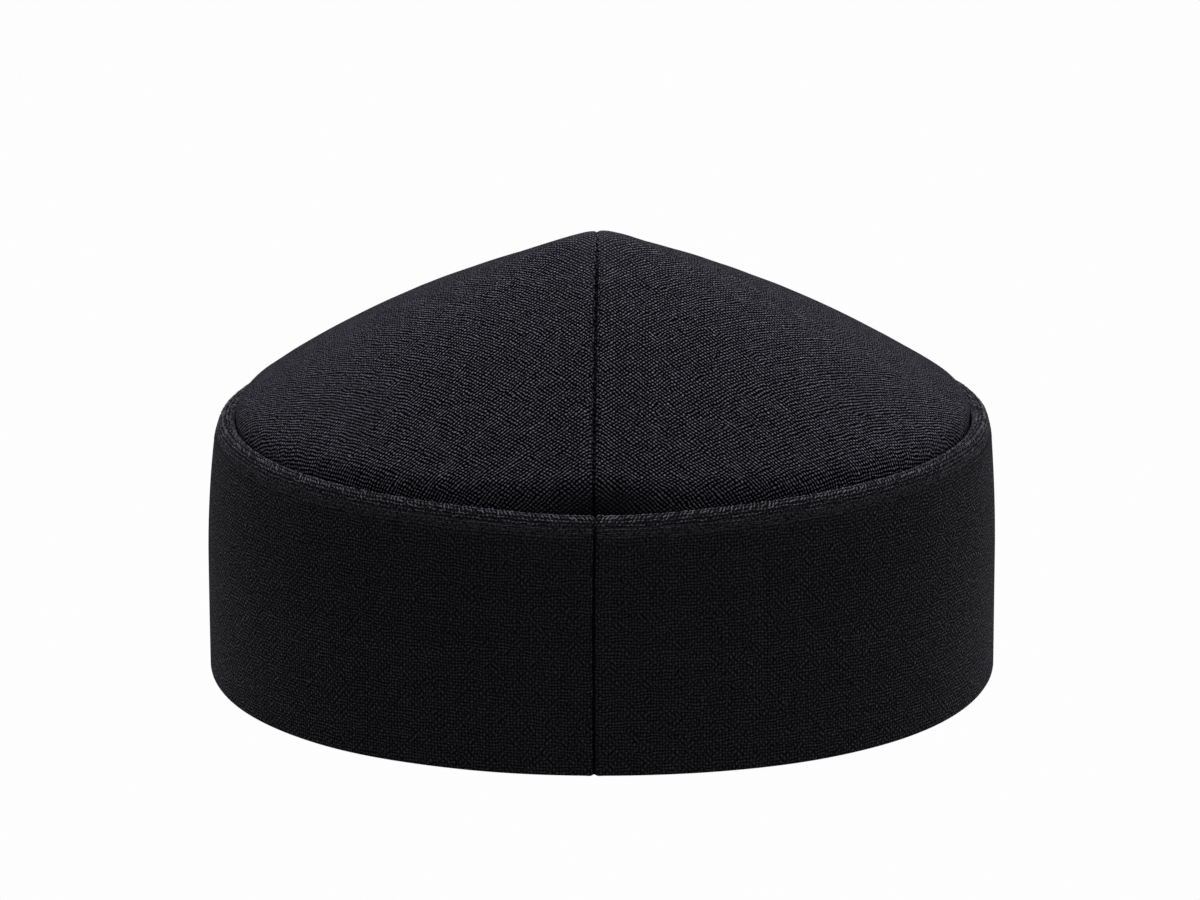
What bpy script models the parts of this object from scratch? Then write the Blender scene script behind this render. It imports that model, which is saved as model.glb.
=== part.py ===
# Pointed kufi of plain black cloth. A tall folded side band stands as a stiff ring, and a
# crown of two panels rises from inside it to a soft point. Metres, +Z up. The origin is the
# centre of the ring that the cap rests on, and the seams that show face -Y.

import math

import bmesh
import bpy

# Driving sizes of the side band
BAND_DIAMETER = 0.190      # widest outside width
BAND_HEIGHT = 0.0609       # from the rest surface to the top of the fold
BAND_WALL = 0.003          # two layers of cloth over a stiffening layer
BELLY_HEIGHT = 0.027       # height where the band is widest
TOP_LEAN = 0.0021          # how far the face leans in by the top of the fold
FOOT_TUCK = 0.0001         # how far the face draws in at the foot
FOOT_ROUND = 0.0009        # edge radius of the foot
FOOT_FULLNESS = 0.0013     # how far the foot stands out of round between front and sides
FULLNESS_FADE = 1.5        # power by which that dies away up the band
FOLD_TILT = 0.0009         # the fold stands higher by this on the right, lower on the left
FOLD_DIP = 0.0008          # how far the seam draws the fold down at the front
FOLD_DIP_WIDTH = 11.0      # half width of that dip in degrees
FOLD_FADE = 3              # power by which the slope and the dip grow up the band

# Driving sizes of the crown
CAP_HEIGHT = 0.1058        # rest surface to the tip, before the seam ridge
CROWN_CLOTH = 0.0015       # wall of the crown panels
CROWN_RADIUS = 0.0896      # where the crown turns down inside the band
TIP_SLOPE = 0.334          # fall per metre run just outside the tip
TIP_ROUND = 0.0024         # how far the tip is rounded off
CROWN_BOW = 0.0123         # extra fall by the edge, which makes the sides convex
BOW_POWER = 2.5
EDGE_ROLL = 0.004          # radius of the turn from dome to wall
SKIRT_FOOT = 0.052         # height where the hidden skirt of the crown ends
PIECE_GAP = 0.0003         # clearance between sewn pieces

# The hollow at the front, where the crown is drawn in behind the fold of the band
HOLLOW_ROLL = 0.0025       # tighter turn at the middle of the hollow
HOLLOW_AT_FOLD = 0.75      # share of the hollow's depth left level with the fold
HOLLOWS = (
    # (depth, half width in degrees)
    (0.0010, 22.0),
    (0.0022, 7.5),
)

# The seam over the crown and down the band
SEAM_X = -0.0007           # the seam runs a little left of the middle
SEAM_RIDGE = 0.00035       # height of the pressed seam allowance beside the seam
SEAM_RIDGE_AT = 0.002      # distance of the ridge from the seam
SEAM_RIDGE_WIDTH = 0.0019
SEAM_DROP = 0.0005         # how far the cloth dips into the seam
SEAM_DROP_WIDTH = 0.0005
GROOVE_HALF_WIDTH = 0.0005
GROOVE_DEPTH = 0.00055

# Mesh density
ROUND_STEPS = 72           # facets round the cap
FACE_STEPS = 4             # facets up the band's faces
FOLD_STEPS = 6
FOOT_STEPS = 2
GROOVE_COLUMNS = (-1.0, -0.5, 0.0, 0.5, 1.0)   # shares of the groove's half width
DOME_RINGS = (0.05, 0.12, 0.24, 0.40, 0.56, 0.72, 0.86, 1.0)   # shares of the dome's radius
ROLL_STEPS = 3
SEAM_COLUMNS = (
    # (distance from the seam, most it may be of the ring's radius)
    (0.0007, 0.040),
    (0.0020, 0.075),
    (0.0045, 0.120),
)
FIRST_COLUMN_ANGLE = 10.0  # degrees from the seam to the first evenly spaced column
SHARP_ANGLE = 50.0         # edges turned by more than this are shaded sharp, in degrees

CLOTHS = {
    # name: (base colour, roughness)
    "crown_cloth": ((0.016, 0.015, 0.019, 1.0), 0.85),
    "band_cloth": ((0.010, 0.010, 0.011, 1.0), 0.88),
}


def clear_scene():
    for obj in list(bpy.data.objects):
        bpy.data.objects.remove(obj, do_unlink=True)


def new_collection(name):
    collection = bpy.data.collections.new(name)
    bpy.context.scene.collection.children.link(collection)
    return collection


def cloth_material(name):
    colour, roughness = CLOTHS[name]
    material = bpy.data.materials.new(name)
    material.use_nodes = True
    shader = material.node_tree.nodes["Principled BSDF"]
    shader.inputs["Base Color"].default_value = colour
    shader.inputs["Roughness"].default_value = roughness
    shader.inputs["Metallic"].default_value = 0.0
    material.diffuse_color = colour
    return material


def move_to(obj, collection):
    for owner in list(obj.users_collection):
        owner.objects.unlink(obj)
    collection.objects.link(obj)


# Side band

def band_radius(height):
    """Outside radius of the band at a height."""
    if height > BELLY_HEIGHT:
        share = (height - BELLY_HEIGHT) / (BAND_HEIGHT - BELLY_HEIGHT)
        return BAND_DIAMETER / 2 - TOP_LEAN * share ** 2
    share = (BELLY_HEIGHT - height) / BELLY_HEIGHT
    return BAND_DIAMETER / 2 - FOOT_TUCK * share ** 2


def arc(centre_r, centre_z, radius, start, end, steps):
    """Points on an arc in the (radius, height) plane, angles in degrees from outwards."""
    points = []
    for step in range(steps + 1):
        angle = math.radians(start + (end - start) * step / steps)
        points.append((centre_r + radius * math.cos(angle), centre_z + radius * math.sin(angle)))
    return points


def band_outer_face():
    """Points down the outer face, between the fold and the rounded foot."""
    top = BAND_HEIGHT - BAND_WALL / 2
    points = []
    for step in range(1, FACE_STEPS):
        height = top + (FOOT_ROUND - top) * step / FACE_STEPS
        points.append((band_radius(height), height))
    return points


def band_fold():
    """The rounded top, from the inner face over to the outer face."""
    half = BAND_WALL / 2
    centre_z = BAND_HEIGHT - half
    return arc(band_radius(centre_z) - half, centre_z, half, 180, 0, FOLD_STEPS)


def band_foot():
    """The foot, from the outer face round to the inner face, with a flat between."""
    outer = band_radius(FOOT_ROUND) - FOOT_ROUND
    inner = band_radius(FOOT_ROUND) - BAND_WALL + FOOT_ROUND
    return (arc(outer, FOOT_ROUND, FOOT_ROUND, 0, -90, FOOT_STEPS)
            + arc(inner, FOOT_ROUND, FOOT_ROUND, -90, -180, FOOT_STEPS))


def band_profile():
    """The closed section, down its outer side and back up its inner side."""
    outer = band_outer_face()
    inner = [(radius - BAND_WALL, height) for radius, height in reversed(outer)]
    return band_fold() + outer + band_foot() + inner


def turned_ring(name, profile, collection):
    """A closed section turned about Z."""
    mesh = bpy.data.meshes.new(name)
    count = len(profile)
    mesh.from_pydata([(radius, 0.0, height) for radius, height in profile],
                     [(index, (index + 1) % count) for index in range(count)], [])
    obj = bpy.data.objects.new(name, mesh)
    collection.objects.link(obj)
    screw = obj.modifiers.new("turn", "SCREW")
    screw.axis = "Z"
    screw.angle = 2 * math.pi
    screw.steps = ROUND_STEPS
    screw.render_steps = ROUND_STEPS
    screw.use_merge_vertices = True
    screw.merge_threshold = 0.00001
    return obj


def sink_seam(mesh):
    """Sink a fine groove along the front seam, over the outer face, the fold and the foot."""
    work = bmesh.new()
    work.from_mesh(mesh)
    for share in GROOVE_COLUMNS:
        front = [face for face in work.faces if face.calc_center_median().y < 0]
        edges = {edge for face in front for edge in face.edges}
        corners = {corner for face in front for corner in face.verts}
        bmesh.ops.bisect_plane(work, geom=front + list(edges) + list(corners),
                               plane_co=(SEAM_X + share * GROOVE_HALF_WIDTH, 0, 0),
                               plane_no=(1, 0, 0))
    work.normal_update()
    for vertex in work.verts:
        x, y, z = vertex.co
        share = 1 - ((x - SEAM_X) / GROOVE_HALF_WIDTH) ** 2
        outside = math.hypot(x, y) > band_radius(z) - BAND_WALL / 2
        if y < 0 and share > 0 and outside:
            vertex.co -= vertex.normal * GROOVE_DEPTH * share
    work.to_mesh(mesh)
    work.free()


def settle(mesh):
    """Give the true round ring its fuller foot, and the fold its slope and front dip."""
    for vertex in mesh.vertices:
        x, y, z = vertex.co
        radius = math.hypot(x, y)
        share = min(1.0, max(0.0, z) / BAND_HEIGHT)
        square = (2 * x * y / radius ** 2) ** 2
        fuller = 1 + FOOT_FULLNESS * square * (1 - share) ** FULLNESS_FADE / radius
        azimuth = math.degrees(math.atan2(x, -y))
        rise = FOLD_TILT * x / radius - FOLD_DIP * math.exp(-(azimuth / FOLD_DIP_WIDTH) ** 2)
        vertex.co = (x * fuller, y * fuller, z + rise * share ** FOLD_FADE)


def side_band(collection, material):
    band = turned_ring("side_band", band_profile(), collection)
    bpy.context.view_layer.objects.active = band
    bpy.ops.object.modifier_apply(modifier="turn")
    sink_seam(band.data)
    settle(band.data)
    band.data.materials.append(material)
    band.data.shade_smooth()
    band.data.set_sharp_from_angle(angle=math.radians(SHARP_ANGLE))
    return band


# Crown

def crown_height(radius):
    """Height of the crown's outer surface over a plan radius."""
    run = math.hypot(radius, TIP_ROUND) - TIP_ROUND
    return CAP_HEIGHT - TIP_SLOPE * run - CROWN_BOW * (radius / CROWN_RADIUS) ** BOW_POWER


def crown_fall(radius):
    """Angle of the crown's surface below level, in radians, over a plan radius."""
    step = 0.0001
    return math.atan((crown_height(radius - step) - crown_height(radius + step)) / (2 * step))


def hollow_pull(azimuth):
    """How far the crown's edge is drawn in at an angle from the front, and its turn radius."""
    pull = sum(depth * math.exp(-(azimuth / width) ** 2) for depth, width in HOLLOWS)
    share = pull / sum(depth for depth, _ in HOLLOWS)
    return pull, EDGE_ROLL + (HOLLOW_ROLL - EDGE_ROLL) * share


def crown_section(azimuth):
    """Rows (radius, height, normal angle above level) from the tip to the skirt's foot."""
    pull, roll = hollow_pull(azimuth)
    wall = CROWN_RADIUS - pull
    fall = crown_fall(wall - roll / 2)
    dome_edge = wall - roll * (1 - math.sin(fall))
    rows = [(0.0, crown_height(0.0), math.pi / 2)]
    for share in DOME_RINGS:
        radius = dome_edge * share
        rows.append((radius, crown_height(radius), math.pi / 2 - crown_fall(radius)))
    centre_r = wall - roll
    centre_z = crown_height(dome_edge) - roll * math.cos(fall)
    for step in range(1, ROLL_STEPS + 1):
        angle = (math.pi / 2 - fall) * (1 - step / ROLL_STEPS)
        rows.append((centre_r + roll * math.cos(angle), centre_z + roll * math.sin(angle), angle))
    inside = BAND_WALL + PIECE_GAP
    fold_foot = BAND_HEIGHT - BAND_WALL / 2
    middle = (fold_foot + SKIRT_FOOT) / 2
    rows.append((band_radius(fold_foot) - inside - pull * HOLLOW_AT_FOLD, fold_foot, 0.0))
    rows.append((band_radius(middle) - inside, middle, 0.0))
    rows.append((band_radius(SKIRT_FOOT) - inside, SKIRT_FOOT, 0.0))
    return rows


def seam_relief(distance):
    """Height added beside the seam: a pressed ridge and a dip into the stitches."""
    ridge = SEAM_RIDGE * math.exp(-((distance - SEAM_RIDGE_AT) / SEAM_RIDGE_WIDTH) ** 2)
    dip = SEAM_DROP * math.exp(-(distance / SEAM_DROP_WIDTH) ** 2)
    return ridge - dip


def column_offsets():
    """Columns from the front seam to the back seam: (seam column or None, angle, front or back)."""
    even = [FIRST_COLUMN_ANGLE]
    while even[-1] < 90:
        even.append(even[-1] + 360 / ROUND_STEPS)
    quarter = [(index, 0.0) for index in range(-1, len(SEAM_COLUMNS))]
    quarter += [(None, angle) for angle in even]
    front = [(index, angle, -1) for index, angle in quarter]
    back = [(index, angle, 1) for index, angle in reversed(quarter[:-1])]
    return front + back


def column_across(index, angle, edge, radius):
    """Distance of a column from the cap's middle plane, on a ring of a radius."""
    span = radius - edge
    if index is None:
        return edge + span * math.sin(math.radians(angle))
    if index < 0:
        return edge
    distance, share = SEAM_COLUMNS[index]
    return edge + min(distance, span * share)


def crown_point(column, row, side, edge):
    """One point of a panel. side is 1 for the right panel and -1 for the left one."""
    index, angle, facing = column
    if row == 0:
        return (side * edge, 0.0, crown_height(0.0) + seam_relief(0.0))
    flat = column_across(index, angle, edge, CROWN_RADIUS)
    azimuth = math.degrees(math.asin(min(1.0, flat / CROWN_RADIUS)))
    section_azimuth = azimuth if facing < 0 else 180.0
    radius, height, normal = crown_section(section_azimuth)[row]
    across = column_across(index, angle, edge, radius)
    along = facing * math.sqrt(max(0.0, radius ** 2 - across ** 2))
    relief = seam_relief(across - edge) if height > BAND_HEIGHT else 0.0
    outward = relief * math.cos(normal) / radius
    return (side * across * (1 + outward), along * (1 + outward), height + relief * math.sin(normal))


def crown_panel(name, side, collection, material):
    """Half of the crown: a grid laid from the seam outwards, then given its thickness."""
    columns = column_offsets()
    rows = len(crown_section(0.0))
    bpy.ops.mesh.primitive_grid_add(x_subdivisions=len(columns) - 1, y_subdivisions=rows - 1,
                                    size=2, location=(0, 0, 0))
    panel = bpy.context.object
    panel.name = name
    panel.data.name = name
    move_to(panel, collection)

    edge = side * SEAM_X + PIECE_GAP / 2
    for vertex in panel.data.vertices:
        column = round((vertex.co.x + 1) / 2 * (len(columns) - 1))
        row = round((vertex.co.y + 1) / 2 * (rows - 1))
        vertex.co = crown_point(columns[column], row, side, edge)

    work = bmesh.new()
    work.from_mesh(panel.data)
    bmesh.ops.remove_doubles(work, verts=work.verts, dist=0.00001)
    if side > 0:
        bmesh.ops.reverse_faces(work, faces=work.faces)
    work.to_mesh(panel.data)
    work.free()

    panel.data.materials.append(material)
    thicken = panel.modifiers.new("cloth", "SOLIDIFY")
    thicken.thickness = CROWN_CLOTH
    thicken.offset = -1.0
    thicken.use_even_offset = True
    panel.data.shade_smooth()
    panel.data.set_sharp_from_angle(angle=math.radians(SHARP_ANGLE))
    return panel


def build():
    clear_scene()
    kufi = new_collection("kufi")
    crown_cloth = cloth_material("crown_cloth")
    band_cloth = cloth_material("band_cloth")
    side_band(kufi, band_cloth)
    crown_panel("crown_panel_left", -1, kufi, crown_cloth)
    crown_panel("crown_panel_right", 1, kufi, crown_cloth)


build()
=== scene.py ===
import math

import bpy
from mathutils import Matrix, Vector, noise


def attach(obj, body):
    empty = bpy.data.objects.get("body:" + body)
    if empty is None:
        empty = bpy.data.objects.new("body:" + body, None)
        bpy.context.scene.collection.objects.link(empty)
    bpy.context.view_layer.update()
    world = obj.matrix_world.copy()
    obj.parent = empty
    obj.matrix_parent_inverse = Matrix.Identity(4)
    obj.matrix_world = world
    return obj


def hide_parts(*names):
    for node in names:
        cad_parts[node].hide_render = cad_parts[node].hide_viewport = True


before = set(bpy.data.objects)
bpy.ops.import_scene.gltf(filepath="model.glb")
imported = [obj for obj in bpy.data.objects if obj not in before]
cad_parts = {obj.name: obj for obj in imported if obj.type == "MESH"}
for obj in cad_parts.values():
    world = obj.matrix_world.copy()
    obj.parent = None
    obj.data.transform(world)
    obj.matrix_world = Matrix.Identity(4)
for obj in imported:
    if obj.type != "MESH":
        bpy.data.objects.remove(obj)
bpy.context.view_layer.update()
mm = 0.001
noise.seed_set(5)  # without it, noise_vector strews the yarns anew on every run

# Pointed kufi of plain black cloth, seen from the front at a low angle.
# +Z is up, the seams that show face -Y, and the cap rests on z = 0.


# Small helpers

def fallOff(distance, width):
    return math.exp(-(distance / width) ** 2)


def finishPiece(piece, material):
    piece.data.materials.append(material)
    for face in piece.data.polygons:
        face.use_smooth = True
    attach(piece, "root")
    return piece


def newPiece(name, points, faces, grain=None, tone=None):
    mesh = bpy.data.meshes.new(name)
    mesh.from_pydata(points, [], faces)
    if tone:  # tone: above 1 for painted light, below 1 for painted shade down in a seam, a pocket or between yarns; strokes also vary in tone at random
        mesh.attributes.new("tone", "FLOAT", "POINT").data.foreach_set("value", tone)
    if grain:  # running lengths along the yarns, in metres
        layer = mesh.uv_layers.new(name="grain")
        for loop, spot in zip(layer.data, grain):
            loop.uv = spot
    mesh.validate()
    piece = bpy.data.objects.new(name, mesh)
    bpy.context.scene.collection.objects.link(piece)
    return piece


def gridPiece(name, rows, closedAcross=False, closedAlong=False, flip=False):
    # rows holds lists of (point, (u, v), tone); a closed grid repeats its first row or column at the end
    wide = len(rows[0]) - (1 if closedAcross else 0)
    tall = len(rows) - (1 if closedAlong else 0)
    points = [rows[r][c][0] for r in range(tall) for c in range(wide)]
    tone = [rows[r][c][2] for r in range(tall) for c in range(wide)]
    faces, grain = [], []
    for r in range(len(rows) - 1):
        for c in range(len(rows[0]) - 1):
            corners = [(r, c), (r, c + 1), (r + 1, c + 1), (r + 1, c)]
            if flip:
                corners.reverse()
            faces.append([(a % tall) * wide + b % wide for a, b in corners])
            grain += [rows[a][b][1] for a, b in corners]
    return newPiece(name, points, faces, grain, tone)


# Node helpers, so that a material below reads as a sum

class NodeSheet:
    def __init__(self, tree):
        self.tree = tree
        self.place = 0

    def add(self, kind, **settings):
        node = self.tree.nodes.new(kind)
        node.location = (self.place % 9 * 190 - 1900, self.place // 9 * -260)
        self.place += 1
        for key, value in settings.items():
            setattr(node, key, value)
        return node

    def feed(self, socket, value):
        if isinstance(value, bpy.types.NodeSocket):
            self.tree.links.new(value, socket)
        else:
            socket.default_value = value

    def sum(self, operation, *values):
        node = self.add("ShaderNodeMath", operation=operation)
        for socket, value in zip(node.inputs, values):
            self.feed(socket, value)
        return node.outputs[0]

    def plus(self, a, b):
        return self.sum("ADD", a, b)

    def times(self, a, b):
        return self.sum("MULTIPLY", a, b)

    def vector(self, x, y, z=0.0):
        node = self.add("ShaderNodeCombineXYZ")
        for socket, value in zip(node.inputs, (x, y, z)):
            self.feed(socket, value)
        return node.outputs[0]

    def noise(self, vector, scale, detail=2.0, roughness=0.5):
        node = self.add("ShaderNodeTexNoise", noise_dimensions="3D")
        self.feed(node.inputs["Vector"], vector)
        self.feed(node.inputs["Scale"], scale)
        self.feed(node.inputs["Detail"], detail)
        self.feed(node.inputs["Roughness"], roughness)
        return node.outputs["Fac"]

    def chance(self, vector):
        node = self.add("ShaderNodeTexWhiteNoise", noise_dimensions="2D")
        self.feed(node.inputs["Vector"], vector)
        return node.outputs["Value"]

    def spread(self, value, low, high):
        # 0..1 to low..high
        node = self.add("ShaderNodeMapRange")
        self.feed(node.inputs["Value"], value)
        self.feed(node.inputs["To Min"], low)
        self.feed(node.inputs["To Max"], high)
        return node.outputs["Result"]

    def uneven(self, value, share):
        # 0..1 to a factor that varies by share either way
        return self.spread(value, 1 - share, 1 + share)

    def tint(self, colour, strength):
        node = self.add("ShaderNodeVectorMath", operation="SCALE")
        self.feed(node.inputs[0], colour)
        self.feed(node.inputs["Scale"], strength)
        return node.outputs[0]


def emptyMaterial(name):
    material = bpy.data.materials.new(name)
    material.use_nodes = True
    shader = material.node_tree.nodes["Principled BSDF"]
    shader.location = (200, 0)
    material.node_tree.nodes["Material Output"].location = (520, 0)
    return material, shader, NodeSheet(material.node_tree)


# Plain weave. Two yarn families cross over and under. From afar such cloth shows ribs on both diagonals
# and rows of yarn, and which of them it shows changes from patch to patch with the pull on the cloth.

bandCloth = {
    "pitch": (0.73 * mm, 0.75 * mm),    # yarn spacing round and up
    "colour": (0.95, 0.95, 1.10),
    "brightness": 0.0168,       # mean reflectance facing the eye, set lower than the crown's on the same cloth: painted shade
    "paintedSheen": 3.6,           # painted sheen: how much brighter the fuzz makes it edge on
    "paintedSheenPower": 2.7,          # and how close to the edge
    "ground": 1.0,              # how light the cloth is between its yarns
    "ribShare": 0.60,           # strength of the diagonal ribs
    "rowShare": 0.52,           # of the yarns that run round
    "columnShare": 0.54,        # and of those that run up
    "darkest": 0.16,            # what light is left in the holes
    "patches": 2.6,             # how far ribs turn into rows and back
    "patchScale": 560.0,        # patches to the metre
    "pull": 2.8,                # how far one diagonal gives way to the other
    "pullFrom": 0.0,            # neither is favoured up to here, in metres along the yarns
    "pullRise": 0.0,            # and the first one this much more for each metre beyond
    "pullScale": 560.0,
    "wander": 0.90,             # the most a yarn strays over a few millimetres, in pitches
    "wanderScale": 200.0,
    "wobble": 0.30,             # and within a millimetre or two
    "wobbleScale": 650.0,
    "contrast": (1.0, 1.6, -1.4),    # power facing the eye, its slope and its curve towards edge on
    "unevenYarns": 0.10,
    "unevenCrossings": 0.17,
    "blotch": 0.08,             # pale and dark patches
    "blotchScale": 95.0,
    "paintedFlat": 0.40,           # how much of the weave the cloth can lose where light or shade is painted on it
    "fibre": 0.44,              # speckle of loose fibre
    "fuzz": 1.3,                # and how much more of it shows edge on
    "fuzzScale": 1900.0,
    "reliefDepth": 0.10 * mm,
    "roughness": 0.85,
    "specular": 0.03,
    "sheen": 0.006,
    "sheenRoughness": 0.45,
    "sheenTint": (0.86, 0.86, 1.0, 1.0),
}

crownCloth = {
    "pitch": (0.67 * mm, 0.65 * mm),
    "colour": (0.98, 0.94, 1.18),
    "brightness": 0.0243,
    "paintedSheen": 2.5,
    "paintedSheenPower": 2.3,
    "ground": 0.05,
    "ribShare": 4.2,
    "rowShare": 0.0,
    "columnShare": 0.0,
    "darkest": 0.05,
    "patches": 0.0,
    "patchScale": 560.0,
    "pull": 1.0,
    "pullFrom": 0.055,
    "pullRise": 2.0,
    "pullScale": 240.0,
    "wander": 1.00,
    "wanderScale": 260.0,
    "wobble": 0.44,
    "wobbleScale": 700.0,
    "contrast": (1.20, 1.9, -2.4),
    "unevenYarns": 0.12,
    "unevenCrossings": 0.22,
    "blotch": 0.07,
    "blotchScale": 95.0,
    "paintedFlat": 0.40,
    "fibre": 0.10,
    "fuzz": 0.30,
    "fuzzScale": 1500.0,
    "reliefDepth": 0.12 * mm,
    "roughness": 0.82,
    "specular": 0.03,
    "sheen": 0.008,
    "sheenRoughness": 0.40,
    "sheenTint": (0.84, 0.83, 1.0, 1.0),
}


def clothPatches(sheet, grain, scale, change, bias=0.0):
    # 0..1, changing from patch to patch
    patch = sheet.spread(sheet.noise(grain, scale, 1.0), 0.5 - change / 2, 0.5 + change / 2)
    return sheet.sum("MINIMUM", sheet.sum("MAXIMUM", sheet.plus(patch, bias), 0.0), 1.0)


def yarnCount(sheet, run, pitch, place, cloth):
    # how many yarns along, with their straying
    stray = sheet.spread(sheet.noise(place, cloth["wanderScale"], 1.0), -cloth["wander"], cloth["wander"])
    shake = sheet.spread(sheet.noise(place, cloth["wobbleScale"], 1.0), -cloth["wobble"], cloth["wobble"])
    return sheet.plus(sheet.sum("DIVIDE", run, pitch), sheet.plus(stray, shake))


def weavePattern(sheet, grain, turned, run, across, along, cloth):
    # diagonal ribs, and patches of rows, over the yarns that run up
    ribA = sheet.sum("COSINE", sheet.times(sheet.plus(across, along), math.pi))
    ribB = sheet.sum("COSINE", sheet.times(sheet.sum("SUBTRACT", across, along), math.pi))
    beyond = sheet.sum("SUBTRACT", sheet.sum("ABSOLUTE", run), cloth["pullFrom"])
    pull = clothPatches(sheet, grain, cloth["pullScale"], cloth["pull"],
                        sheet.times(beyond, cloth["pullRise"]))
    rib = sheet.plus(sheet.times(ribA, pull), sheet.times(ribB, sheet.sum("SUBTRACT", 1.0, pull)))
    row = sheet.sum("COSINE", sheet.times(along, 2 * math.pi))
    column = sheet.sum("COSINE", sheet.times(across, 2 * math.pi))
    rows = clothPatches(sheet, turned, cloth["patchScale"], cloth["patches"])
    ribs = sheet.sum("SUBTRACT", 1.0, rows)
    weave = sheet.times(sheet.times(rib, ribs), 2 * cloth["ribShare"])
    weave = sheet.plus(weave, sheet.times(sheet.times(row, rows), 2 * cloth["rowShare"]))
    return sheet.plus(weave, sheet.times(column, cloth["columnShare"]))


def wovenCloth(name, cloth):
    material, shader, sheet = emptyMaterial(name)
    grain = sheet.add("ShaderNodeUVMap", uv_map="grain").outputs["UV"]
    split = sheet.add("ShaderNodeSeparateXYZ")
    sheet.feed(split.inputs[0], grain)
    turned = sheet.vector(split.outputs["Y"], split.outputs["X"], 0.37)
    across = yarnCount(sheet, split.outputs["X"], cloth["pitch"][0], grain, cloth)
    along = yarnCount(sheet, split.outputs["Y"], cloth["pitch"][1], turned, cloth)
    weave = weavePattern(sheet, grain, turned, split.outputs["Y"], across, along, cloth)
    light = sheet.sum("MAXIMUM", sheet.plus(weave, cloth["ground"]), cloth["darkest"])

    # uneven yarns and crossings
    yarnA = sheet.sum("ROUND", across)
    yarnB = sheet.sum("ROUND", along)
    oddYarn = sheet.plus(sheet.chance(sheet.vector(yarnA, 3.0)), sheet.chance(sheet.vector(7.0, yarnB)))
    oddYarn = sheet.uneven(sheet.times(oddYarn, 0.5), cloth["unevenYarns"])
    oddSpot = sheet.uneven(sheet.chance(sheet.vector(yarnA, yarnB)), cloth["unevenCrossings"])
    light = sheet.times(light, sheet.times(oddYarn, oddSpot))
    edgeOn = sheet.add("ShaderNodeLayerWeight")
    edgeOn.inputs["Blend"].default_value = 0.5
    start, slope, curve = cloth["contrast"]
    power = sheet.plus(sheet.times(edgeOn.outputs["Facing"], curve), slope)
    power = sheet.plus(sheet.times(edgeOn.outputs["Facing"], power), start)
    light = sheet.sum("POWER", light, sheet.sum("MAXIMUM", power, 0.6))

    # cloth with painted light is paler, cloth with painted shade darker, and in both the weave is flatter
    paintedLightAndTone = sheet.add("ShaderNodeAttribute", attribute_name="tone").outputs["Fac"]
    flat = sheet.sum("MINIMUM", sheet.sum("ABSOLUTE", sheet.sum("SUBTRACT", paintedLightAndTone, 1.0)), cloth["paintedFlat"])
    light = sheet.plus(sheet.times(light, sheet.sum("SUBTRACT", 1.0, flat)), flat)
    blotch = sheet.uneven(sheet.noise(grain, cloth["blotchScale"], 3.0, 0.6), cloth["blotch"])
    light = sheet.times(light, sheet.times(paintedLightAndTone, blotch))

    # fuzz that catches the light edge on
    speckle = sheet.spread(sheet.noise(grain, cloth["fuzzScale"], 2.0, 0.6), -2.0, 2.0)
    fuzz = sheet.plus(sheet.times(edgeOn.outputs["Facing"], cloth["fuzz"]), cloth["fibre"])
    speckle = sheet.times(speckle, fuzz)
    light = sheet.times(light, sheet.sum("MAXIMUM", sheet.plus(speckle, 1.0), 0.15))
    # painted sheen: the base colour grows brighter edge on
    lift = sheet.sum("POWER", edgeOn.outputs["Facing"], cloth["paintedSheenPower"])
    lift = sheet.plus(sheet.times(lift, cloth["paintedSheen"]), 1.0)
    light = sheet.times(light, sheet.times(lift, cloth["brightness"]))
    sheet.feed(shader.inputs["Base Color"], sheet.tint(cloth["colour"], light))

    # the yarns' own relief
    bump = sheet.add("ShaderNodeBump")
    bump.inputs["Distance"].default_value = cloth["reliefDepth"]
    bump.inputs["Strength"].default_value = 0.5
    sheet.feed(bump.inputs["Height"], weave)
    sheet.feed(shader.inputs["Normal"], bump.outputs["Normal"])
    shader.inputs["Roughness"].default_value = cloth["roughness"]
    shader.inputs["Specular IOR Level"].default_value = cloth["specular"]
    shader.inputs["Sheen Weight"].default_value = cloth["sheen"]
    shader.inputs["Sheen Roughness"].default_value = cloth["sheenRoughness"]
    shader.inputs["Sheen Tint"].default_value = cloth["sheenTint"]
    return material


threadCloth = {
    "foldBrightness": 0.165,    # of the loose yarns along the fold, paler from wear and with a painted highlight
    "sewingBrightness": 0.034,  # of the sewing thread
    "twist": 0.35 * mm,         # length of one turn of the ply
    "relief": 0.05 * mm,
    "colour": (0.96, 0.94, 1.14),
    "roughness": 0.62,
    "specular": 0.12,
    "sheen": 0.03,
    "sheenRoughness": 0.40,
}


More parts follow.
